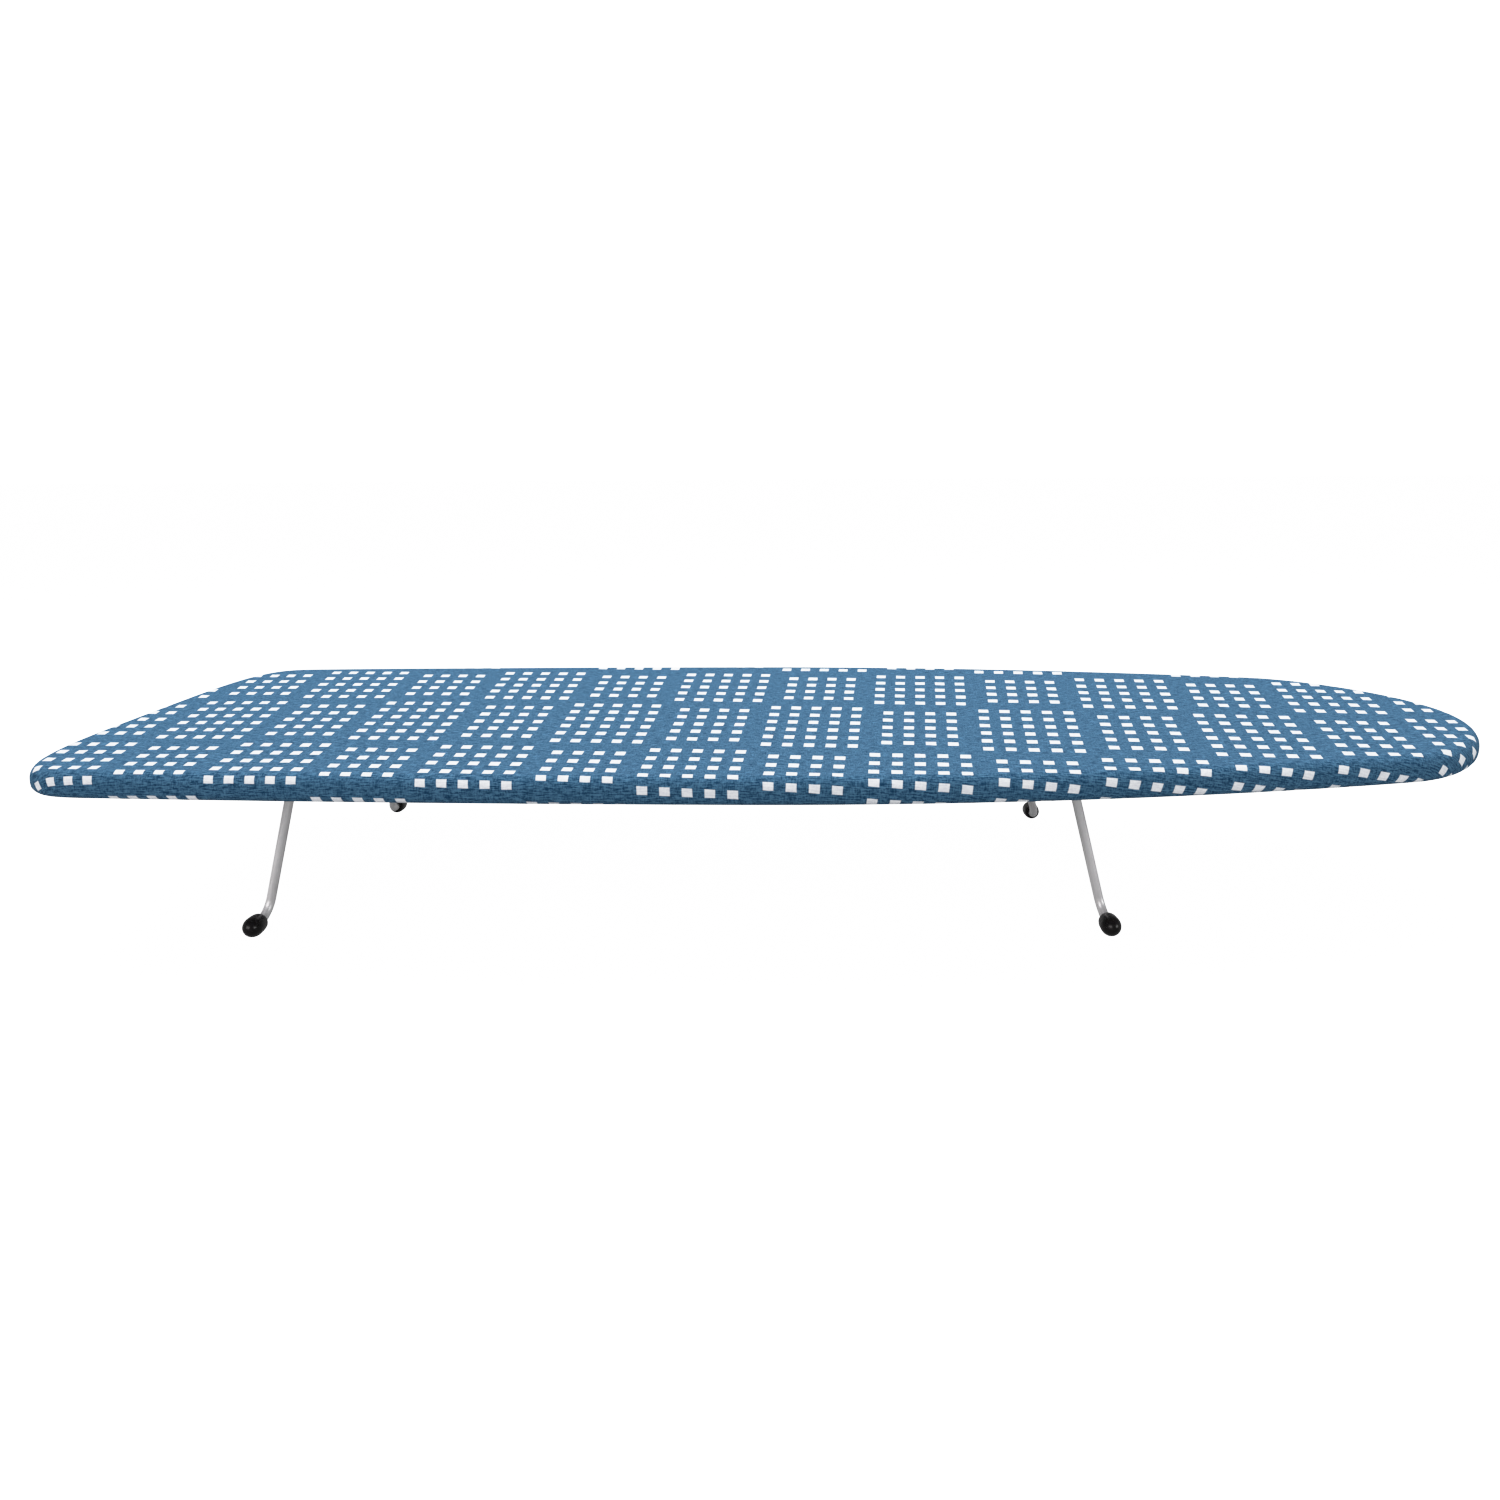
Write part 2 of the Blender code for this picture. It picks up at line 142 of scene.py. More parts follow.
def new_piece(name, points, faces, material, body="board", smooth=True, stands_for=()):
    mesh = bpy.data.meshes.new(name)
    mesh.from_pydata(np.asarray(points, float).tolist(), [], faces)
    mesh.validate()
    mesh.polygons.foreach_set("use_smooth", [smooth] * len(mesh.polygons))
    mesh.materials.append(material)
    piece = bpy.data.objects.new(name, mesh)
    bpy.context.scene.collection.objects.link(piece)
    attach(piece, body)
    if stands_for:
        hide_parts(*stands_for)
    return piece


def set_attribute(piece, name, values):
    """One vector for each point. Flat values, of two numbers each, get a third of 0."""
    values = np.asarray(values, np.float32)
    if values.shape[1] == 2:
        values = np.column_stack([values, np.zeros(len(values))])
    made = piece.data.attributes.new(name, "FLOAT_VECTOR", "POINT")
    made.data.foreach_set("vector", values.ravel())


def ring_faces(rings, count, first=0, swept=False):
    """Quads between rings of count points each, from point number first on, then a face over each end.

    They face out where the rings run down the outside of a shape, or along a swept one.
    """
    faces = []
    for r in range(rings - 1):
        upper = first + r * count
        lower = upper + count
        for i in range(count):
            j = (i + 1) % count
            if swept:
                faces.append((upper + i, upper + j, lower + j, lower + i))
            else:
                faces.append((upper + i, lower + i, lower + j, upper + j))
    last = first + (rings - 1) * count
    start, end = range(first, first + count), range(last, last + count)
    if swept:
        return faces + [tuple(reversed(start)), tuple(end)]
    return faces + [tuple(start), tuple(reversed(end))]


def sweep(path, section, up=(0, 0, 1)):
    """Points of section, in (sideways, up), carried along path: one ring for each point of the path."""
    path = np.asarray(path, float)
    ahead = np.gradient(path, axis=0)
    ahead /= np.linalg.norm(ahead, axis=1)[:, None]
    side = np.cross(ahead, np.array(up, float))
    side /= np.linalg.norm(side, axis=1)[:, None]
    rise = np.cross(side, ahead)
    sideways, upward = section[..., :1], section[..., 1:]
    return (path[:, None] + side[:, None] * sideways + rise[:, None] * upward).reshape(-1, 3)


def distances(path):
    """How far along path each of its points is."""
    return np.r_[0, np.cumsum(np.linalg.norm(np.diff(path, axis=0), axis=1))]


def circle(radius, steps):
    turns = 2 * pi * np.arange(steps) / steps
    return np.column_stack([radius * np.cos(turns), radius * np.sin(turns)])


def rumple(points, scale, seed):
    """Smooth noise from about -1 to 1 at each point."""
    places = points * scale + [seed, -seed, 0]
    return np.array([noise.noise(Vector(place)) for place in places])


# Materials

class Graph:
    """A material with a Principled shader, and short ways to make its nodes."""

    def __init__(self, name, roughness=0.5, metallic=0.0, specular=0.5, sheen=0.0):
        self.material = bpy.data.materials.new(name)
        self.material.use_nodes = True
        self.tree = self.material.node_tree
        self.shader = self.tree.nodes["Principled BSDF"]
        self.shader.inputs["Roughness"].default_value = roughness
        self.shader.inputs["Metallic"].default_value = metallic
        self.shader.inputs["Specular IOR Level"].default_value = specular
        self.shader.inputs["Sheen Weight"].default_value = sheen

    def put(self, socket, value):
        if isinstance(value, bpy.types.NodeSocket):
            self.tree.links.new(value, socket)
        elif value is not None:
            socket.default_value = value

    def node(self, kind, **settings):
        made = self.tree.nodes.new("ShaderNode" + kind)
        for key, value in settings.items():
            setattr(made, key, value)
        return made

    def math(self, operation, a, b=None):
        made = self.node("Math", operation=operation)
        for socket, value in zip(made.inputs, (a, b)):
            self.put(socket, value)
        return made.outputs[0]

    def total(self, *parts):
        """The sum of each part's value times its weight."""
        sums = [self.math("MULTIPLY", value, weight) for value, weight in parts]
        while len(sums) > 1:
            sums[:2] = [self.math("ADD", sums[0], sums[1])]
        return sums[0]

    def mix(self, share, a, b):
        made = self.node("Mix", data_type="RGBA", clamp_factor=True)
        for index, value in ((0, share), (6, a), (7, b)):
            if isinstance(value, tuple):
                value = (*value, 1.0)
            self.put(made.inputs[index], value)
        return made.outputs[2]

    def stretch(self, vector, scale, turned=(0, 0, 0)):
        made = self.node("Mapping")
        self.put(made.inputs["Vector"], vector)
        made.inputs["Rotation"].default_value = turned
        made.inputs["Scale"].default_value = scale
        return made.outputs[0]

    def noise(self, vector, scale, detail=2.0, rough=0.5):
        made = self.node("TexNoise")
        self.put(made.inputs["Vector"], vector)
        made.inputs["Scale"].default_value = scale
        made.inputs["Detail"].default_value = detail
        made.inputs["Roughness"].default_value = rough
        return made.outputs[0]

    def span(self, value, low, high, out_low=0.0, out_high=1.0):
        """value carried from low..high to out_low..out_high, and held at those ends."""
        made = self.node("MapRange", clamp=True)
        for socket, number in zip(made.inputs, (value, low, high, out_low, out_high)):
            self.put(socket, number)
        return made.outputs[0]

    def split(self, vector):
        made = self.node("SeparateXYZ")
        self.put(made.inputs[0], vector)
        return made.outputs

    def attribute(self, name):
        return self.node("Attribute", attribute_name=name).outputs["Vector"]

    def position(self):
        return self.node("TexCoord").outputs["Object"]

    def bump(self, height, strength, distance):
        made = self.node("Bump")
        made.inputs["Strength"].default_value = strength
        made.inputs["Distance"].default_value = distance
        self.put(made.inputs["Height"], height)
        return made.outputs[0]

    def finish(self, color=None, roughness=None, normal=None):
        for name, value in (("Base Color", color), ("Roughness", roughness), ("Normal", normal)):
            if isinstance(value, tuple):
                value = (*value, 1.0)
            self.put(self.shader.inputs[name], value)
        return self.material


THREAD = 0.00055           # pitch of the cover's plain weave
PLAIT = 5200.0             # how fast a thread's or a cord's plait turns, in radians for each metre


def woven(graph, cloth):
    """Height of a plain weave and how light its yarns run, over cloth coordinates in metres."""
    x, y, _ = graph.split(cloth)
    warp = graph.math("SINE", graph.math("MULTIPLY", x, pi / THREAD))
    weft = graph.math("SINE", graph.math("MULTIPLY", y, pi / THREAD))
    over = graph.math("MULTIPLY", warp, weft)
    ribs = graph.math("ADD", graph.math("ABSOLUTE", warp), graph.math("ABSOLUTE", weft))
    height = graph.total((over, 0.35), (ribs, 0.5))
    along = graph.noise(graph.stretch(cloth, (0.16, 1.05, 1.0)), 1400, 2.0, 0.62)
    across = graph.noise(graph.stretch(cloth, (1.30, 0.25, 1.0)), 1150, 2.0, 0.62)
    fleck = graph.noise(graph.stretch(cloth, (1.0, 0.90, 1.0)), 1050, 3.0, 0.75)
    return height, graph.total((along, 0.50), (across, 0.22), (fleck, 0.28))


# The print: blocks of small squares on a lattice. A wide block is WIDE_BLOCK squares across and the blocks
# beside it one fewer. In every other row a block is as long as it is wide, and in the rows between it is
# one longer.
BLOCK_PITCH = (5.04, 5.52)
BLOCK_ORIGIN = (-7.0, -0.6)
WIDE_BLOCK = 5.0
SQUARE = (0.465, 0.41)
SOFT_EDGE = 0.015


def printed_squares(graph, lattice):
    """1 inside a printed square and 0 outside, over lattice coordinates."""
    u, v, _ = graph.split(lattice)

    def nearest(value, axis):
        steps = graph.math("DIVIDE", graph.math("SUBTRACT", value, BLOCK_ORIGIN[axis]), BLOCK_PITCH[axis])
        block = graph.math("ROUND", steps)
        local = graph.math("MULTIPLY", graph.math("SUBTRACT", steps, block), BLOCK_PITCH[axis])
        return block, local

    column, a = nearest(u, 0)
    row, b = nearest(v, 1)
    odd_row = graph.math("FLOORED_MODULO", row, 2.0)
    narrow = graph.math("FLOORED_MODULO", graph.math("ADD", column, row), 2.0)
    across = graph.math("SUBTRACT", WIDE_BLOCK, narrow)
    along = graph.math("SUBTRACT", graph.math("ADD", across, 1.0), odd_row)

    def stripe(local, squares, axis):
        """How far a place is past the edge of its nearest square, and whether its block reaches there."""
        half = graph.math("MULTIPLY", squares, 0.5)
        phase = graph.math("FRACT", graph.math("ADD", local, half))
        off = graph.math("ABSOLUTE", graph.math("SUBTRACT", phase, 0.5))
        past = graph.math("SUBTRACT", off, SQUARE[axis] / 2)
        return past, graph.math("LESS_THAN", graph.math("ABSOLUTE", local), half)

    past_a, inside_a = stripe(a, across, 0)
    past_b, inside_b = stripe(b, along, 1)
    uneven = graph.math("MULTIPLY", graph.math("SUBTRACT", graph.noise(lattice, 1.7, 1.0), 0.5), 0.05)
    worst = graph.math("ADD", graph.math("MAXIMUM", past_a, past_b), uneven)
    edge = graph.span(worst, SOFT_EDGE, -SOFT_EDGE)
    return graph.math("MULTIPLY", edge, graph.math("MULTIPLY", inside_a, inside_b))


def cover_material():
    graph = Graph("cover_fabric", roughness=0.92, specular=0.10, sheen=0.02)
    graph.shader.inputs["Sheen Roughness"].default_value = 0.5
    graph.shader.inputs["Sheen Tint"].default_value = (0.75, 0.85, 1.0, 1.0)
    cloth = graph.attribute("cloth")
    height, slubs = woven(graph, cloth)
    patches = graph.noise(cloth, 24, 3.0)
    dark = graph.mix(graph.span(slubs, 0.43, 0.57), (0.002, 0.034, 0.086), (0.069, 0.179, 0.297))
    blue = graph.mix(graph.span(patches, 0.3, 0.7, 0.0, 0.15), dark, (0.029, 0.103, 0.187))
    white = graph.mix(graph.span(slubs, 0.42, 0.58), (0.72, 0.755, 0.82), (0.92, 0.965, 1.0))
    mask = printed_squares(graph, graph.attribute("print"))
    color = graph.mix(mask, blue, white)
    raised = graph.math("ADD", height, graph.math("MULTIPLY", slubs, 1.3))
    return graph.finish(color, normal=graph.bump(raised, 0.75, 0.00018))


def hem_material():
    graph = Graph("hem_tape", roughness=0.9, specular=0.2, sheen=0.2)
    cloth = graph.attribute("cloth")
    height, slubs = woven(graph, cloth)
    color = graph.mix(graph.span(slubs, 0.36, 0.64), (0.016, 0.070, 0.142), (0.070, 0.205, 0.335))
    return graph.finish(color, normal=graph.bump(height, 0.5, 0.00015))


def thread_material():
    graph = Graph("sewing_thread", roughness=0.7, sheen=0.2)
    lay = graph.math("SINE", graph.math("MULTIPLY", graph.split(graph.attribute("wire"))[2], PLAIT))
    # The colour follows the twist's lay, so each groove between the plies is painted darker: painted shade.
    color = graph.mix(graph.span(lay, -1, 1), (0.020, 0.075, 0.14), (0.05, 0.145, 0.25))
    return graph.finish(color, normal=graph.bump(lay, 0.4, 0.00008))


def elastic_material():
    graph = Graph("elastic", roughness=0.75, sheen=0.3)
    place = graph.position()
    x, y, z = graph.split(place)
    ring = graph.math("ADD", x, y)
    plait = graph.math("SINE", graph.math("MULTIPLY", graph.math("ADD", ring, z), PLAIT))
    counter = graph.math("SINE", graph.math("MULTIPLY", graph.math("SUBTRACT", ring, z), PLAIT))
    height = graph.math("MULTIPLY", plait, counter)
    # The colour follows the plait's height, so the low places between the yarns are painted darker: painted
    # shade in the braid's grooves.
    color = graph.mix(graph.span(height, -1, 1), (0.52, 0.51, 0.48), (0.84, 0.83, 0.80))
    return graph.finish(color, normal=graph.bump(height, 0.6, 0.00015))


def felt_material():
    graph = Graph("pad_felt", roughness=0.97, specular=0.15, sheen=0.35)
    place = graph.position()
    fibres = graph.noise(graph.stretch(place, (1, 0.35, 1), (0, 0, 0.6)), 1500, 4.0, 0.7)
    lint = graph.noise(place, 260, 5.0, 0.65)
    base = graph.mix(graph.span(fibres, 0.35, 0.65), (0.22, 0.21, 0.195), (0.42, 0.405, 0.38))
    color = graph.mix(graph.span(lint, 0.60, 0.72, 0.0, 0.55), base, (0.10, 0.12, 0.17))
    return graph.finish(color, normal=graph.bump(fibres, 0.7, 0.0004))


def painted_material(name, light):
    """Grey powder coat: a fine orange-peel skin, slow changes of tone and a few rubbed specks."""
    graph = Graph(name, roughness=0.42, specular=0.5)
    place = graph.position()
    peel = graph.noise(place, 1300, 2.0)
    cloud = graph.noise(place, 14, 4.0, 0.6)
    dust = graph.noise(place, 420, 3.0, 0.7)
    dim = tuple(0.86 * c for c in light)
    base = graph.mix(graph.span(cloud, 0.35, 0.65), dim, light)
    color = graph.mix(graph.span(dust, 0.66, 0.74, 0.0, 0.5), base, (0.40, 0.40, 0.41))
    rough = graph.span(cloud, 0.3, 0.7, 0.36, 0.52)
    return graph.finish(color, rough, graph.bump(peel, 0.3, 0.00012))


def wire_material():
    graph = Graph("leg_wire", roughness=0.38, metallic=0.4)
    wire = graph.attribute("wire")
    drawn = graph.noise(graph.stretch(wire, (260, 260, 14)), 1.0, 3.0, 0.6)
    spangle = graph.noise(graph.stretch(wire, (420, 420, 420)), 1.0, 4.0, 0.7)
    cloud = graph.noise(graph.stretch(wire, (60, 60, 40)), 1.0, 3.0, 0.55)
    steel = graph.mix(graph.span(drawn, 0.36, 0.64), (0.70, 0.70, 0.71), (0.93, 0.93, 0.94))
    dull = graph.mix(graph.span(spangle, 0.42, 0.62, 0.0, 0.45), steel, (0.78, 0.775, 0.77))
    color = graph.mix(graph.span(cloud, 0.52, 0.70, 0.0, 0.4), dull, (0.60, 0.59, 0.585))
    rough = graph.span(drawn, 0.3, 0.7, 0.32, 0.50)
    height = graph.math("ADD", drawn, graph.math("MULTIPLY", spangle, 0.5))
    return graph.finish(color, rough, graph.bump(height, 0.35, 0.00010))


def zinc_material(name, tone):
    graph = Graph(name, roughness=0.36, metallic=1.0)
    place = graph.position()
    brushed = graph.noise(graph.stretch(place, (1, 0.06, 0.5)), 2400, 2.0)
    cloud = graph.noise(place, 130, 3.0)
    base = graph.mix(graph.span(brushed, 0.35, 0.65), tuple(0.72 * c for c in tone), tone)
    color = graph.mix(graph.span(cloud, 0.45, 0.65, 0.0, 0.45), base, (0.60, 0.57, 0.48))
    return graph.finish(color, graph.span(cloud, 0.3, 0.7, 0.28, 0.48), graph.bump(brushed, 0.25, 0.00006))


def cap_material():
    graph = Graph("foot_cap", roughness=0.25, specular=0.25)
    place = graph.position()
    skin = graph.noise(place, 700, 3.0, 0.6)
    cloud = graph.noise(place, 150, 3.0, 0.6)
    color = graph.mix(graph.span(cloud, 0.45, 0.70), (0.0022, 0.0018, 0.0020), (0.010, 0.0078, 0.0086))
    return graph.finish(color, graph.span(cloud, 0.35, 0.7, 0.14, 0.32), graph.bump(skin, 0.3, 0.00008))


COVER = cover_material()
HEM = hem_material()
THREADS = thread_material()
ELASTIC = elastic_material()
FELT = felt_material()
MESH_STEEL = painted_material("mesh_steel", (0.82, 0.83, 0.84))
FRAME_STEEL = painted_material("frame_steel", (0.68, 0.69, 0.70))
WIRE = wire_material()
BRACKET_ZINC = zinc_material("bracket_zinc", (0.66, 0.66, 0.65))
RIVET_ZINC = zinc_material("rivet_zinc", (0.72, 0.72, 0.71))
CAP = cap_material()


# Cover: printed cloth drawn over the pad, round the edge and in under the board

# Where the print lies on the plan: lattice units at the board's middle, units for each metre along and
# across, how fast the print spreads out, and how the cloth was pulled askew as it was stretched. Each skew
# is an amount with a power of the place along and one of the place across, both from -1 to 1.
PRINT_MIDDLE = (1.67, -2.79)
PRINT_ALONG = (87.85, -3.94)
PRINT_ACROSS = (-2.62, -50.75)
PRINT_SPREAD = (-0.0225, 0.717)
SKEW_U = ((-1.8, 2, 0), (0.16, 3, 0), (0.77, 4, 0), (0.88, 5, 0), (-0.17, 1, 2), (0.35, 2, 1))
SKEW_V = ((-0.34, 2, 0), (0.13, 3, 0), (-0.26, 4, 0), (0.37, 1, 1), (-0.15, 3, 1))
# Past the edge the cloth keeps its own pitch of about 10 mm. These are lattice units for each metre
# outwards: WRAP_ALONG for the outward direction's x, and its y times x along the board, and WRAP_ACROSS for
# its y, its y times x, and its x at the nose.
WRAP_ALONG = (100.0, -53.0)
WRAP_ACROSS = (-108.0, -14.0, -35.0)
CLOTH = 0.0008              # thickness
EDGE_RISE = 0.0066          # the top edge's rounding: its height, and how far in it reaches
EDGE_REACH = 0.0066
UNDER_RADIUS = 0.0045
GATHER_DEPTH = 0.0015
GATHER_SAG = 0.0002         # how far the gathered edge hangs below the cover's underside in the CAD
EDGE_PULL = 0.00014         # how far the gathers draw the edge's side in and out
TOP_SAG = 0.00018           # the top lies this far down on average, and sinks and swells by the next two
SOFTNESS = ((0.00016, 21, 3.0), (0.00005, 55, 8.0))     # depth, how close the swells are, and noise seed
TOP_RINGS = (0.004, 0.12, 0.3, 0.48, 0.64, 0.77, 0.86, 0.92, 0.96, 0.985)   # shares of the top's outline
ROUND_STEPS = 1080          # points round the cover and the hem


def lattice_of(plan):
    """Where points of the plan lie on the print's lattice, in squares."""
    x, y = plan[:, 0], plan[:, 1]
    spread = 1 + PRINT_SPREAD[0] * x + PRINT_SPREAD[1] * y
    u = (PRINT_MIDDLE[0] + PRINT_ALONG[0] * x + PRINT_ACROSS[0] * y) / spread
    v = (PRINT_MIDDLE[1] + PRINT_ALONG[1] * x + PRINT_ACROSS[1] * y) / spread
    far_x, far_y = x / (BOARD_LENGTH / 2), y / (BOARD_WIDTH / 2)
    u = u + sum(amount * far_x**a * far_y**b for amount, a, b in SKEW_U)
    v = v + sum(amount * far_x**a * far_y**b for amount, a, b in SKEW_V)
    return np.column_stack([u, v])


def gather_wave(outline):
    """Folds of the gathered edge, from about -1 to 1, deeper and closer where the board's edge turns."""
    rng = np.random.default_rng(5)
    phase = 2 * pi * outline.arc / outline.length
    drift = sum(size * np.sin(turns * phase + rng.uniform(0, 2 * pi))
                for turns, size in ((3, 0.9), (7, 0.7), (16, 0.5), (31, 0.35)))
    fine = np.sin(121 * phase + 2.4 * drift)
    finer = np.sin(197 * phase - 3.1 * drift + 1.0)
    strength = 0.40 + 0.90 * outline.bend
    swell = 0.72 + 0.28 * np.sin(11 * phase + drift)
    return (0.68 * fine + 0.32 * finer) * strength * swell


def make_cover():
    outline = Outline(ROUND_STEPS)
    wave = gather_wave(outline)
    count = outline.count
    flat_edge = outline.at(EDGE_REACH)
    low = UNDER + UNDER_RADIUS
    fold_start = UNDER_RADIUS / 2
    rings, lattices, cloths = [], [], []

    def add(plan, z, reach=0.0):
        """One ring, and where it lies on the cloth: reach is how far past the top's flat part it is."""
        base = flat_edge if reach else plan
        rings.append(np.column_stack([plan, z]))
        cloths.append(base + outline.outward * reach)
        x, (out_x, out_y) = base[:, 0], outline.outward.T
        along = WRAP_ALONG[0] * out_x + WRAP_ALONG[1] * out_y * x
        across = (WRAP_ACROSS[0] + WRAP_ACROSS[1] * x) * out_y + WRAP_ACROSS[2] * out_x.clip(0)
        lattices.append(lattice_of(base) + reach * np.column_stack([along, across]))

    def gathered(inset, z):
        """How much of the gathers a place shows, from 0 to 1 at the hem, and how far they lift it."""
        fold = np.clip((inset - fold_start) / (COVER_RETURN - fold_start), 0, 1) if z < low else 0.0
        return fold, GATHER_DEPTH * fold**1.25 * wave - GATHER_SAG * fold

    for share in TOP_RINGS:
        add(flat_edge * share, np.full(count, TOP))
    section = []
    for turn in np.linspace(0, pi / 2, 9):
        section.append((EDGE_REACH * (1 - sin(turn)), TOP - EDGE_RISE * (1 - cos(turn))))
    section.append((0.0, (TOP - EDGE_RISE + low) / 2))
    for turn in np.linspace(0, pi / 2, 7):
        section.append((UNDER_RADIUS * (1 - cos(turn)), low - UNDER_RADIUS * sin(turn)))
    for inset in np.linspace(UNDER_RADIUS, COVER_RETURN + CLOTH, 12)[1:]:
        section.append((inset, UNDER))
    reach = 0.0
    before = section[0]
    for inset, z in section:
        reach += np.hypot(inset - before[0], z - before[1])
        before = (inset, z)
        fold, lift = gathered(inset, z)
        pull = EDGE_PULL * np.clip((TOP - z) / EDGE_RISE, 0, 1) * (1 - fold)
        add(outline.at(inset) + outline.outward * (pull * wave * outline.bend)[:, None],
            np.full(count, z) + lift, reach)

    # The cloth's inner face, with fewer rings over the hidden top
    inner_section = [(COVER_RETURN, UNDER + CLOTH), (0.013, UNDER + CLOTH)]
    for turn in np.linspace(0, pi / 2, 4):
        inner_section.append((UNDER_RADIUS - (UNDER_RADIUS - CLOTH) * sin(turn),
                              low - (UNDER_RADIUS - CLOTH) * cos(turn)))
    for turn in np.linspace(0, pi / 2, 4):
        inner_section.append((EDGE_REACH - (EDGE_REACH - CLOTH) * cos(turn),
                              TOP - EDGE_RISE + (EDGE_RISE - CLOTH) * sin(turn)))
    hem_cloth, hem_lattice = cloths[-1], lattices[-1]
    for inset, z in inner_section:
        rings.append(np.column_stack([outline.at(inset), np.full(count, z) + gathered(inset, z)[1]]))
        cloths.append(hem_cloth)
        lattices.append(hem_lattice)
    for share in (0.5, 0.004):
        add(flat_edge * share, np.full(count, TOP - CLOTH))

    points = np.vstack(rings)
    plan = points * [1, 1, 0]
    softness = sum(depth * rumple(plan, scale, seed) for depth, scale, seed in SOFTNESS)
    on_top = np.arange(len(points)) < len(TOP_RINGS) * count
    points[:, 2] += np.where(on_top, softness - TOP_SAG, 0)
    piece = new_piece("cover_cloth", points, ring_faces(len(rings), count), COVER,
                      stands_for=["cover"])
    set_attribute(piece, "print", np.vstack(lattices))
    set_attribute(piece, "cloth", np.vstack(cloths))
    return piece


HEM_RADII = (0.0026, 0.0021)    # of the channel's oval, out from the middle and up
HEM_SWELL = (0.16, 0.10)        # how much the gathers widen and flatten it, as shares of its radii
HEM_SWAY = 0.0003               # how far they push it in and out
HEM_LIFT = 0.0007               # how far they lift it on its outer side
HEM_ROUND = 0.0024              # the middle radius, which sets the weave's pitch round the channel
HEM_GAP = 4                     # steps of the outline left open, each way from the middle of the tail
MOUTH = 0.62                    # each open end's hole, as a share of the channel


def make_hem():
    """The gathered channel sewn along the cover's inner edge, open for a few millimetres at the tail."""
    outline = Outline(ROUND_STEPS)
    wave = gather_wave(outline)
    keep = np.arange(HEM_GAP, outline.count - HEM_GAP + 1)
    centre = outline.at(HEM_INSET)
    steps = 12
    turns = 2 * pi * np.arange(steps) / steps
    rings = []
    for i in keep:
        outwards = HEM_RADII[0] * np.cos(turns) * (1 + HEM_SWELL[0] * wave[i])
        upwards = HEM_RADII[1] * np.sin(turns) * (1 - HEM_SWELL[1] * wave[i])
        lift = HEM_LIFT * wave[i] * (0.6 + 0.4 * np.cos(turns))
        middle = centre[i] + outline.outward[i] * HEM_SWAY * wave[i]
        plan = middle + outline.outward[i] * outwards[:, None]
        rings.append(np.column_stack([plan, HEM_Z + upwards + lift]))
    points = np.vstack(rings)
    faces = ring_faces(len(keep), steps)[:-2]
    # The two mouths turn in, so the channel shows its thickness round the elastic
    for ring, flip in ((0, False), (len(keep) - 1, True)):
        at, start = ring * steps, len(points)
        middle = rings[ring].mean(axis=0)
        points = np.vstack([points, middle + (rings[ring] - middle) * MOUTH])
        for t in range(steps):
            n = (t + 1) % steps
            quad = (at + t, at + n, start + n, start + t)
            faces.append(quad[::-1] if flip else quad)
        end = tuple(range(start, start + steps))
        faces.append(end[::-1] if flip else end)
    piece = new_piece("hem_channel", points, faces, HEM, stands_for=["hem"])
    cloth = np.column_stack([np.repeat(outline.arc[keep], steps), np.tile(turns * HEM_ROUND, len(keep))])
    set_attribute(piece, "cloth", np.vstack([cloth, cloth[:steps], cloth[-steps:]]))
    return piece


STITCH_PITCH = 0.0032
STITCH_LENGTH = 0.0024
STITCH_RADIUS = 0.00027
STITCH_INSET = 0.0208
STITCH_FOLD = 0.93                          # how much of the gathers' depth shows at the seam
STITCH_DROP = 0.00008                       # from the cloth down to a stitch's two ends
STITCH_PROUD = 0.0002                       # how far its middle stands below them
STITCH_BOW = (0, 0.55, 1, 1, 0.55, 0)       # the share of that at each of its rings
STITCH_SWELL = (0.35, 0.85, 1, 1, 0.85, 0.35)   # and of its radius


def make_stitches():
    """Two-thread seam beside the channel: one short raised stitch after another."""
    outline = Outline(ROUND_STEPS)
    low = UNDER + GATHER_DEPTH * STITCH_FOLD * gather_wave(outline) - GATHER_SAG - STITCH_DROP
    line = np.column_stack([outline.at(STITCH_INSET), low])
    closed = np.vstack([line, line[:1]])
    run = distances(closed[:, :2])
    number = int(run[-1] / STITCH_PITCH)
    rings = len(STITCH_BOW)
    sides = 6
    section = circle(STITCH_RADIUS, sides) * np.array(STITCH_SWELL)[:, None, None]
    points, faces, wire = [], [], []
    for k in range(number):
        places = k * run[-1] / number + STITCH_LENGTH * np.linspace(0, 1, rings)
        at = np.column_stack([np.interp(places, run, closed[:, axis]) for axis in range(3)])
        at[:, 2] -= STITCH_PROUD * np.array(STITCH_BOW)
        faces += ring_faces(rings, sides, first=k * rings * sides, swept=True)
        points.append(sweep(at, section))
        wire.append(np.column_stack([np.zeros((rings * sides, 2)), np.repeat(places, sides)]))
    piece = new_piece("hem_stitches", np.vstack(points), faces, THREADS)
    set_attribute(piece, "wire", np.vstack(wire))
    return piece


# Pad and expanded-steel top

PAD_DENTS = 0.00012         # how uneven the pad's underside is


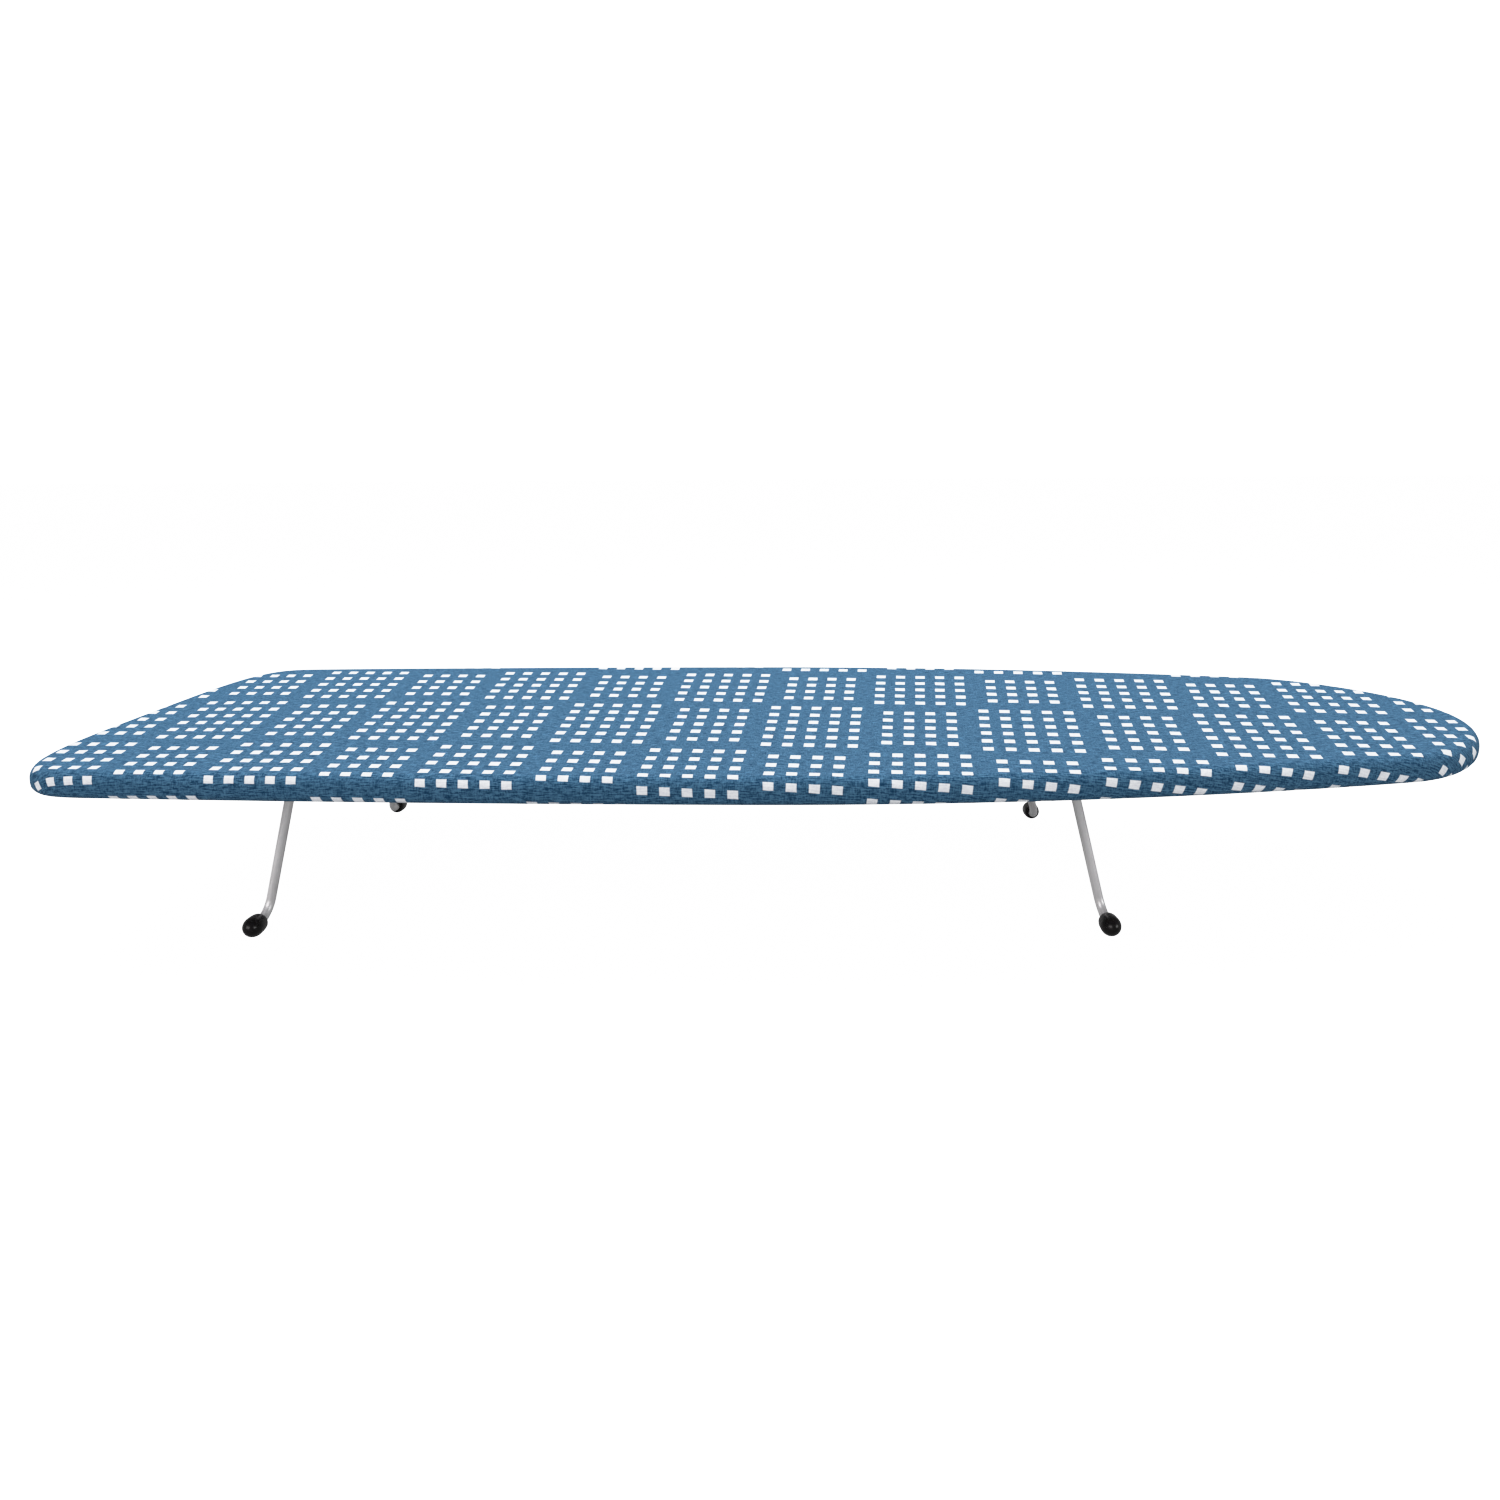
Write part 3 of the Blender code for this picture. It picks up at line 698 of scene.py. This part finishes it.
def make_pad():
    steps = 360
    outline = Outline(steps)
    low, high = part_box("pad")[0].z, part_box("pad")[1].z
    top_shares = (0.004, 0.3, 0.6, 0.85, 0.96)
    edge = ((0.0065, high), (0.0044, high - 0.0004), (0.0030, high - 0.0012), (0.0026, high - 0.002),
            (0.0030, low + 0.0004), (0.0040, low))
    under_shares = (0.97, 0.93, 0.87, 0.8, 0.7, 0.6, 0.5, 0.4, 0.3, 0.2, 0.1, 0.004)
    rings = [(outline.at(edge[0][0]) * share, high) for share in top_shares]
    rings += [(outline.at(inset), z) for inset, z in edge]
    rings += [(outline.at(edge[-1][0]) * share, low) for share in under_shares]
    points = np.vstack([np.column_stack([plan, np.full(steps, z)]) for plan, z in rings])
    dents = PAD_DENTS * (1 + rumple(points, 60, 1.0))
    points[:, 2] += np.where(points[:, 2] < low + 0.0002, dents, 0)
    return new_piece("pad_felt", points, ring_faces(len(rings), steps), FELT,
                     stands_for=["pad"])


DIAMOND = (0.0156, 0.0068)  # the mesh's long and short way, between like points
STRAND = (0.00135, 0.00062)
STRAND_LEAN = 0.30          # radians
STRAND_STEP = 0.00008       # how far a strand rises and falls at its knuckles
KNUCKLE = 0.16              # a knuckle's length, as a share of a diamond's
KNUCKLE_LAP = 0.75          # how far a strand's middle stays from the weld there, in half widths


def make_mesh():
    """Expanded steel: wavy strands side by side that meet in knuckles, each strand leaning on edge."""
    low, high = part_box("mesh_top")[0].z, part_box("mesh_top")[1].z
    middle = (low + high) / 2
    half, step = DIAMOND[0] / 2, DIAMOND[1] / 2
    knuckle = KNUCKLE * half
    right = Outline(720).at(MESH_INSET)[:361]
    order = np.argsort(right[:, 0])
    xs, reach = right[order, 0], -right[order, 1]
    places = np.linspace(xs[0], xs[-1], 2000)
    wide = np.interp(places, xs, reach)
    w, t = STRAND[0] / 2, STRAND[1] / 2
    lean = np.array([(cos(STRAND_LEAN), sin(STRAND_LEAN)), (-sin(STRAND_LEAN), cos(STRAND_LEAN))])
    section = np.array([(-w, -t), (w, -t), (w, t), (-w, t)]) @ lean
    rows = int(BOARD_WIDTH / 2 / step) + 1
    points, faces = [], []
    total = 0
    for row in range(-rows, rows + 1):
        y = (row + 0.5) * step
        inside = places[wide > abs(y) + step]
        if not len(inside):
            continue
        first, last = int(np.ceil(inside[0] / half)), int(np.floor(inside[-1] / half))
        if last <= first:
            continue
        path, sides = [], []
        for k in range(first, last + 1):
            side = 1 if (k + row) % 2 else -1
            meet = y + side * (step / 2 - w * KNUCKLE_LAP)
            path += [(k * half - knuckle, meet, middle), (k * half + knuckle, meet, middle)]
            sides += [side] * 2 * len(section)
        swept = sweep(path, section)
        swept[:, 2] += STRAND_STEP * np.array(sides)
        faces += ring_faces(len(path), len(section), first=total, swept=True)
        points.append(swept)
        total += len(swept)
    return new_piece("mesh_diamonds", np.vstack(points), faces, MESH_STEEL, smooth=False,
                     stands_for=["mesh_top"])


# Legs and their caps

def leg_matrix(leg, pivot_z):
    lean = Matrix.Rotation(-leg["outward"] * LEG_LEAN, 4, "Y")
    return Matrix.Translation((leg["x"], 0.0, pivot_z)) @ lean


def leg_numbers(end):
    """The pivot's height and the leg's length, from the CAD foot that stands on the table."""
    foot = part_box(f"{end}_right_foot")
    cap_flat = (foot[0].z + foot[1].z) / 2
    pivot_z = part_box(f"{end}_leg")[1].z - WIRE_RADIUS
    return pivot_z, (pivot_z - cap_flat) / cos(LEG_LEAN)


def quarter_bend(centre, radius, start, end):
    turns = np.radians(np.linspace(start, end, 15))
    return [(centre[0] + radius * cos(a), centre[1] + radius * sin(a)) for a in turns]


def placed(points, place):
    """The points carried over by a 4 x 4 matrix."""
    return points @ place[:3, :3].T + place[:3, 3]


def make_leg(end, leg):
    """One bent wire: a crossbar, two uprights and two feet turned outward, with a cap on each foot."""
    pivot_z, length = leg_numbers(end)
    half_span = leg["half_span"]
    foot_y = half_span + FOOT_BEND
    left = [(foot_y + CAP_BORE_DEPTH - CAP_MOUTH, -length), (foot_y + 0.004, -length)]
    left += quarter_bend((foot_y, FOOT_BEND - length), FOOT_BEND, 270, 180)
    bottom = left[-1][1]
    left += [(half_span, bottom + (-CROSSBAR_BEND - bottom) * k / 8) for k in range(1, 8)]
    left += quarter_bend((half_span - CROSSBAR_BEND, -CROSSBAR_BEND), CROSSBAR_BEND, 0, 90)
    left += [(half_span * share, 0.0) for share in (0.8, 0.6, 0.4, 0.2)]
    line = left + [(0.0, 0.0)] + [(-y, z) for y, z in reversed(left)]
    path = np.array([(0.0, y, z) for y, z in line])
    ring = circle(WIRE_RADIUS, 28)
    place = np.array(leg_matrix(leg, pivot_z))
    points = placed(sweep(path, ring, up=(1, 0, 0)), place)
    piece = new_piece(f"{end}_leg_wire", points, ring_faces(len(path), len(ring), swept=True), WIRE,
                      body=f"{end}_leg", stands_for=[f"{end}_leg"])
    along = np.repeat(distances(path), len(ring))
    set_attribute(piece, "wire", np.column_stack([np.tile(ring, (len(path), 1)), along]))
    for side, sign in (("left", 1), ("right", -1)):
        make_cap(end, side, sign, place, foot_y, length)


def make_cap(end, side, sign, place, foot_y, length):
    """Moulded cap: a rolled mouth, a body that swells a little and a domed end."""
    bore = WIRE_RADIUS + CAP_PLAY
    profile = [(bore, CAP_BORE_DEPTH), (bore, 0.0012), (bore + 0.0001, 0.0004), (bore + 0.0005, 0.0)]
    profile += [(CAP_FIT * share, height) for share, height in (
        (0.73, 0.0001), (0.84, 0.0006), (0.90, 0.0013), (0.945, 0.0025), (0.976, 0.0042), (0.994, 0.0062))]
    dome = CAP_LENGTH - CAP_DOME_START
    profile += [(CAP_FIT * cos(a), CAP_DOME_START + dome * sin(a)) for a in np.linspace(0, pi / 2, 13)[:-1]]
    steps = 48
    rings = [np.column_stack([circle(radius, steps), np.full(steps, height)]) for radius, height in profile]
    points = np.vstack([*rings, (0, 0, CAP_LENGTH), (0, 0, CAP_BORE_DEPTH)])
    faces = ring_faces(len(rings), steps, swept=True)[:-2]
    tip, floor = len(points) - 2, len(points) - 1
    last = tip - steps
    for t in range(steps):
        n = (t + 1) % steps
        faces.append((last + t, last + n, tip))
        faces.append((t, floor, n))
    turn = np.array(Matrix.Rotation(-sign * pi / 2, 3, "X"))
    points = placed(points @ turn.T + [0.0, sign * (foot_y + CAP_MOUTH), -length], place)
    new_piece(f"{end}_{side}_cap", points, faces, CAP, body=f"{end}_leg",
              stands_for=[f"{end}_{side}_foot"])


# CAD nodes that stay: rounded edges and finished metal

def dress(name, material, edge=0.0):
    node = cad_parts[name]
    node.data.materials.clear()
    node.data.materials.append(material)
    if edge:
        rounding = node.modifiers.new("edges", "BEVEL")
        rounding.width = edge
        rounding.segments = 3
        rounding.limit_method = "ANGLE"
        rounding.angle_limit = radians(50)


cover = make_cover()
hem = make_hem()
stitches = make_stitches()
pad = make_pad()
mesh = make_mesh()
for end_name, leg_data in LEGS.items():
    make_leg(end_name, leg_data)
    dress(f"{end_name}_rail", FRAME_STEEL, 0.0005)
    for side_name in ("left", "right"):
        dress(f"{end_name}_{side_name}_saddle", BRACKET_ZINC, 0.0002)
        dress(f"{end_name}_{side_name}_stop", BRACKET_ZINC, 0.0003)
        for place_name in ("aft", "fore"):
            dress(f"{end_name}_{side_name}_{place_name}_rivet", RIVET_ZINC, 0.0002)
dress("rim", FRAME_STEEL)
dress("spine", FRAME_STEEL, 0.0005)
dress("hem_elastic", ELASTIC)


# Camera, floor and light

LENS = 29.76                                # millimetres, on a frame 36 mm wide
CAMERA_PLACE = (0.0039, -0.6852, 0.2237)
CAMERA_YAW, CAMERA_PITCH, CAMERA_ROLL = radians(-2.098), radians(12.738), radians(0.368)
FLOOR_HALF = 30.0
FLOOR_TONE = 0.28
# How bright the floor and the sky look to the camera, and how much they light the object
FLOOR_SEEN, FLOOR_LIGHT = 1.95, 0.17
SKY_SEEN, SKY_LIGHT = 3.0, 0.28
TONE_WHITE = 2.1
TONES = ((0.15, 0.15), (0.35, 0.35), (0.6, 0.60), (1.0, 0.83), (1.5, 0.95))


def make_camera():
    data = bpy.data.cameras.new("camera")
    data.lens = LENS
    data.sensor_width = 36.0
    data.clip_start = 0.01
    camera = bpy.data.objects.new("camera", data)
    yaw, pitch, roll = CAMERA_YAW, CAMERA_PITCH, CAMERA_ROLL
    forward = Vector((sin(yaw) * cos(pitch), cos(yaw) * cos(pitch), -sin(pitch)))
    level = Vector((cos(yaw), -sin(yaw), 0.0))
    down = forward.cross(level)
    right = cos(roll) * level + sin(roll) * down
    down = cos(roll) * down - sin(roll) * level
    turned = Matrix((right, -down, -forward)).transposed().to_4x4()
    camera.matrix_world = Matrix.Translation(CAMERA_PLACE) @ turned
    bpy.context.scene.collection.objects.link(camera)
    bpy.context.scene.camera = camera


def camera_only(tree, seen, cast):
    """seen where the picture shows the surface itself, and cast where the surface lights others."""
    path = tree.nodes.new("ShaderNodeLightPath")
    choose = tree.nodes.new("ShaderNodeMapRange")
    choose.inputs["To Min"].default_value = cast
    choose.inputs["To Max"].default_value = seen
    tree.links.new(path.outputs["Is Camera Ray"], choose.inputs["Value"])
    return choose.outputs[0]


def make_floor():
    """A white table that looks as pale as the background, and clear from underneath."""
    material = bpy.data.materials.new("floor")
    material.use_nodes = True
    tree = material.node_tree
    shader = tree.nodes["Principled BSDF"]
    shader.inputs["Base Color"].default_value = (FLOOR_TONE, FLOOR_TONE, FLOOR_TONE, 1)
    shader.inputs["Roughness"].default_value = 0.9
    shader.inputs["Specular IOR Level"].default_value = 0.0
    shader.inputs["Emission Color"].default_value = (1, 1, 1, 1)
    tree.links.new(camera_only(tree, FLOOR_SEEN, FLOOR_LIGHT), shader.inputs["Emission Strength"])
    clear = tree.nodes.new("ShaderNodeBsdfTransparent")
    choose = tree.nodes.new("ShaderNodeMixShader")
    side = tree.nodes.new("ShaderNodeNewGeometry")
    tree.links.new(side.outputs["Backfacing"], choose.inputs[0])
    tree.links.new(shader.outputs[0], choose.inputs[1])
    tree.links.new(clear.outputs[0], choose.inputs[2])
    tree.links.new(choose.outputs[0], tree.nodes["Material Output"].inputs[0])
    corners = [(FLOOR_HALF * x, FLOOR_HALF * y, 0) for x, y in ((-1, -1), (1, -1), (1, 1), (-1, 1))]
    mesh_data = bpy.data.meshes.new("floor")
    mesh_data.from_pydata(corners, [], [(0, 1, 2, 3)])
    mesh_data.materials.append(material)
    floor = bpy.data.objects.new("floor", mesh_data)
    bpy.context.scene.collection.objects.link(floor)


def make_world():
    world = bpy.data.worlds.new("studio")
    bpy.context.scene.world = world
    world.use_nodes = True
    tree = world.node_tree
    background = tree.nodes["Background"]
    background.inputs["Color"].default_value = (1, 1, 1, 1)
    tree.links.new(camera_only(tree, SKY_SEEN, SKY_LIGHT), background.inputs["Strength"])


def set_tones():
    """The soft shoulder of a camera's response: only the brightest tones are drawn in."""
    settings = bpy.context.scene.view_settings
    settings.view_transform = "Standard"
    settings.use_curve_mapping = True
    tones = settings.curve_mapping
    tones.white_level = (TONE_WHITE,) * 3
    curve = tones.curves[3]
    for value, shown in TONES:
        point = curve.points.new(value / TONE_WHITE, shown)
        point.handle_type = "AUTO_CLAMPED"
    tones.update()


def area_light(name, place, aim, size, power, color=(1, 1, 1)):
    data = bpy.data.lights.new(name, "AREA")
    data.shape = "RECTANGLE"
    data.size, data.size_y = size
    data.energy = power
    data.color = color
    lamp = bpy.data.objects.new(name, data)
    lamp.location = place
    lamp.rotation_euler = (Vector(aim) - Vector(place)).to_track_quat("-Z", "Y").to_euler()
    bpy.context.scene.collection.objects.link(lamp)


make_camera()
make_floor()
make_world()
set_tones()
area_light("overhead", (-0.1, 0.55, 1.5), (0, 0.05, 0.09), (2.4, 1.5), 52)
area_light("front", (-0.9, -1.4, 0.85), (-0.1, 0, 0.08), (1.4, 0.8), 15, (1.0, 0.95, 0.96))
area_light("nose", (1.5, -0.75, 0.6), (0.3, 0, 0.08), (0.8, 0.6), 8)
